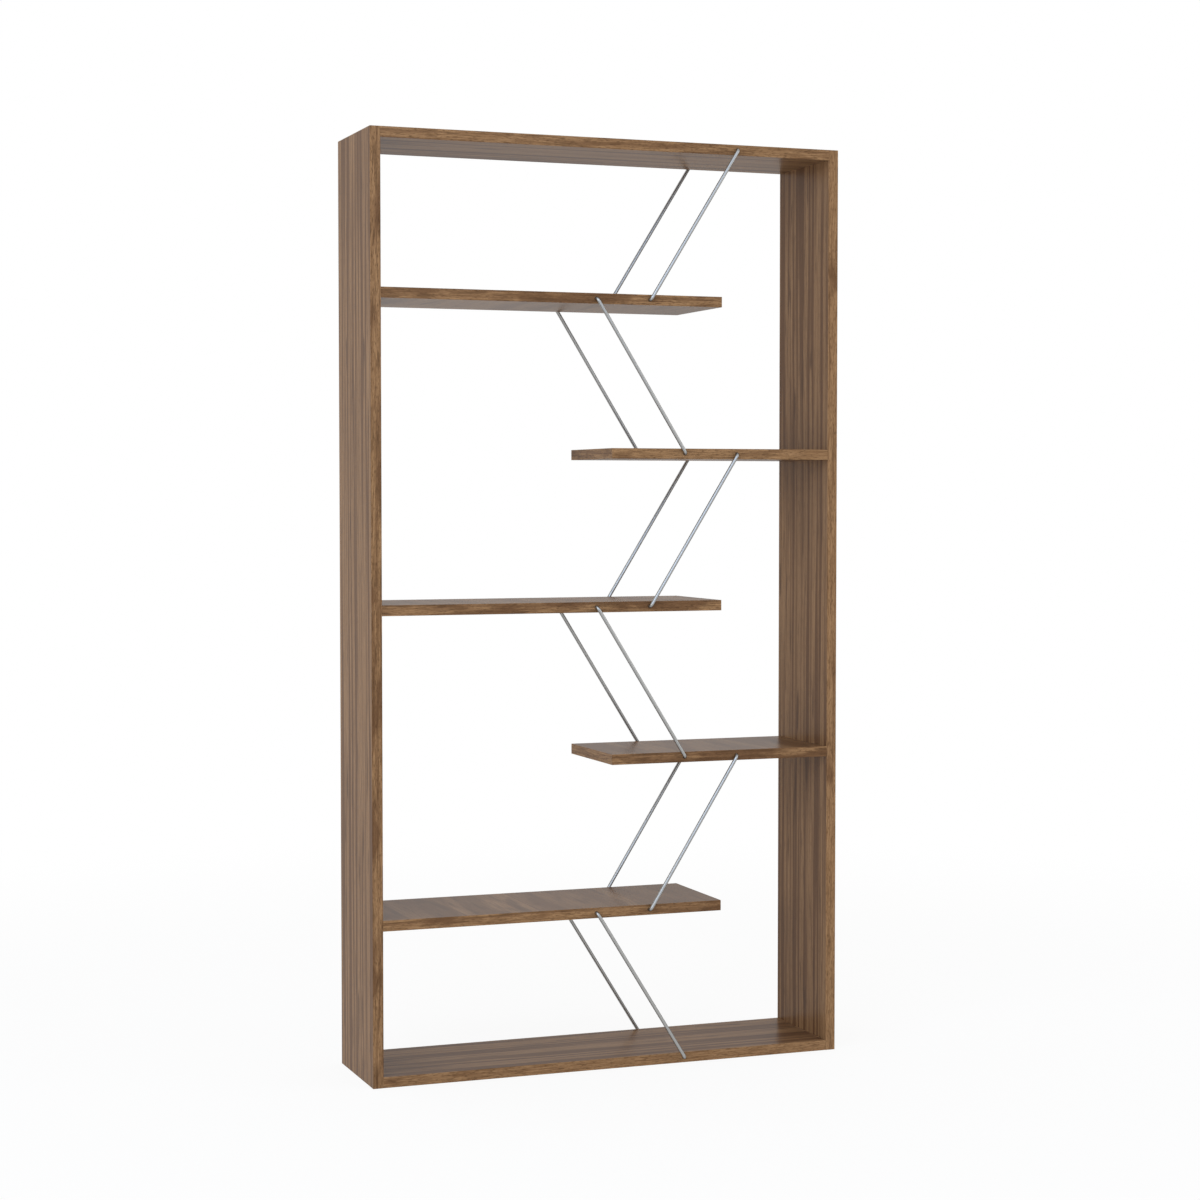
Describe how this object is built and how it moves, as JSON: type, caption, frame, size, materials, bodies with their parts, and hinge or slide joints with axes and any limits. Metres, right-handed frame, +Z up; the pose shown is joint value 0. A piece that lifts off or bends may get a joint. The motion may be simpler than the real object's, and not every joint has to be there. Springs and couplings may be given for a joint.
{
  "type": "bookshelf",
  "caption": "Tall open bookshelf: a board frame with staggered shelves fixed to alternate sides and bent metal rods that tie each board to the next in a zigzag.",
  "frame": {"origin": "on the floor, under the middle of the unit", "axes": "+Z up, +X to the right when facing the open front, +Y from the front to the rear"},
  "size_m": [0.85, 0.2216, 1.592],
  "materials": {
    "walnut_board": "satin",
    "walnut_edge_band": "satin",
    "rod_chrome": "satin",
    "cam_zinc": "satin",
    "bolt_steel": "satin",
    "dowel_beech": "matte"
  },
  "bodies": {
    "root": {"left_side_panel": "walnut_board", "right_side_panel": "walnut_board", "top_panel": "walnut_board", "bottom_panel": "walnut_board", "shelf_1_long": "walnut_board", "shelf_2_short": "walnut_board", "shelf_3_long": "walnut_board", "shelf_4_short": "walnut_board", "shelf_5_long": "walnut_board", "left_side_panel_front_band": "walnut_edge_band", "left_side_panel_rear_band": "walnut_edge_band", "right_side_panel_front_band": "walnut_edge_band", "right_side_panel_rear_band": "walnut_edge_band", "top_panel_front_band": "walnut_edge_band", "top_panel_rear_band": "walnut_edge_band", "bottom_panel_front_band": "walnut_edge_band", "bottom_panel_rear_band": "walnut_edge_band", "shelf_1_long_front_band": "walnut_edge_band", "shelf_1_long_rear_band": "walnut_edge_band", "shelf_2_short_front_band": "walnut_edge_band", "shelf_2_short_rear_band": "walnut_edge_band", "shelf_3_long_front_band": "walnut_edge_band", "shelf_3_long_rear_band": "walnut_edge_band", "shelf_4_short_front_band": "walnut_edge_band", "shelf_4_short_rear_band": "walnut_edge_band", "shelf_5_long_front_band": "walnut_edge_band", "shelf_5_long_rear_band": "walnut_edge_band", "left_side_panel_top_band": "walnut_edge_band", "right_side_panel_top_band": "walnut_edge_band", "shelf_1_long_end_band": "walnut_edge_band", "shelf_2_short_end_band": "walnut_edge_band", "shelf_3_long_end_band": "walnut_edge_band", "shelf_4_short_end_band": "walnut_edge_band", "shelf_5_long_end_band": "walnut_edge_band", "front_rod_1": "rod_chrome", "front_rod_2": "rod_chrome", "front_rod_3": "rod_chrome", "front_rod_4": "rod_chrome", "front_rod_5": "rod_chrome", "front_rod_6": "rod_chrome", "rear_rod_1": "rod_chrome", "rear_rod_2": "rod_chrome", "rear_rod_3": "rod_chrome", "rear_rod_4": "rod_chrome", "rear_rod_5": "rod_chrome", "rear_rod_6": "rod_chrome", "cam_bolts": "bolt_steel", "cam_discs": "cam_zinc", "wooden_dowels": "dowel_beech"}
  },
  "joints": []
}
